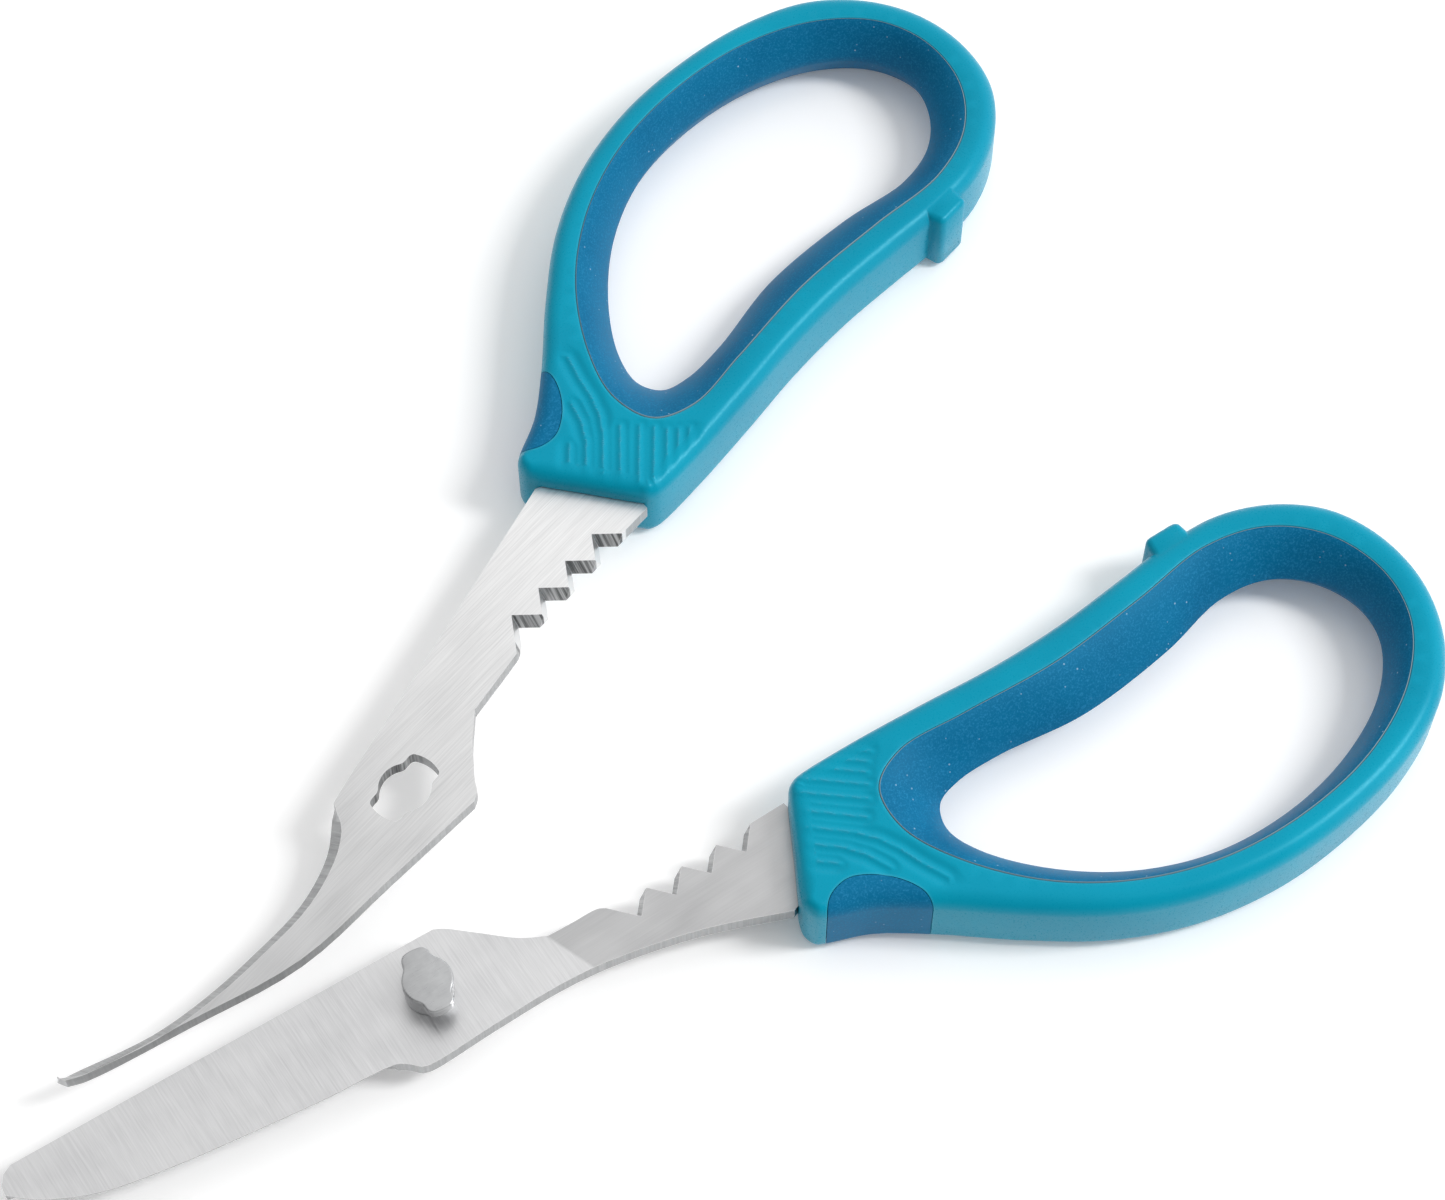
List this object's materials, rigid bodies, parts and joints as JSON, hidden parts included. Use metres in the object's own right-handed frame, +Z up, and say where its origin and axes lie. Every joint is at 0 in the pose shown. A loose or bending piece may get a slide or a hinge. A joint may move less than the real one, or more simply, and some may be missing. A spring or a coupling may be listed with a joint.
{
  "type": "poultry shears",
  "caption": "Take-apart poultry shears as two loose halves: notched steel blades, one with a keyed stud, one with a keyhole, and teal looped handles with blue soft grips.",
  "frame": {"origin": "centre of the bounding box's underside: the table under the two halves", "axes": "+Z up from the table; +X towards the stud half's handle, along the longer side of the layout; both blades point towards -X -Y"},
  "size_m": [0.204, 0.2018, 0.013],
  "materials": {
    "blade_steel": "fine brushed, with ground cutting flats",
    "stud_steel": "turned, satin",
    "hard_plastic": "teal, moulded, satin",
    "soft_grip": "blue, soft matt"
  },
  "bodies": {
    "stud_half": {"stud_blade": "blade_steel", "pivot_stud": "stud_steel", "stud_handle_shell": "hard_plastic", "stud_finger_grip": "soft_grip", "stud_outer_pad": "soft_grip"},
    "stud_washer": {"stud_washer": "stud_steel"},
    "keyhole_half": {"keyhole_blade": "blade_steel", "keyhole_handle_shell": "hard_plastic", "keyhole_finger_grip": "soft_grip", "keyhole_outer_pad": "soft_grip"}
  },
  "joints": [
    {"name": "pivot", "type": "hinge", "parent": "stud_half", "child": "stud_washer", "pos_m": [-0.04471, -0.07042, 0.0065], "axis": [0, 0, 1], "range_deg": [-15.9, 64.9]},
    {"name": "bring_together", "type": "slide", "parent": "stud_washer", "child": "keyhole_half", "axis": [0.1393, -0.9269, 0.3484], "range_m": [0, 0.03301]}
  ]
}
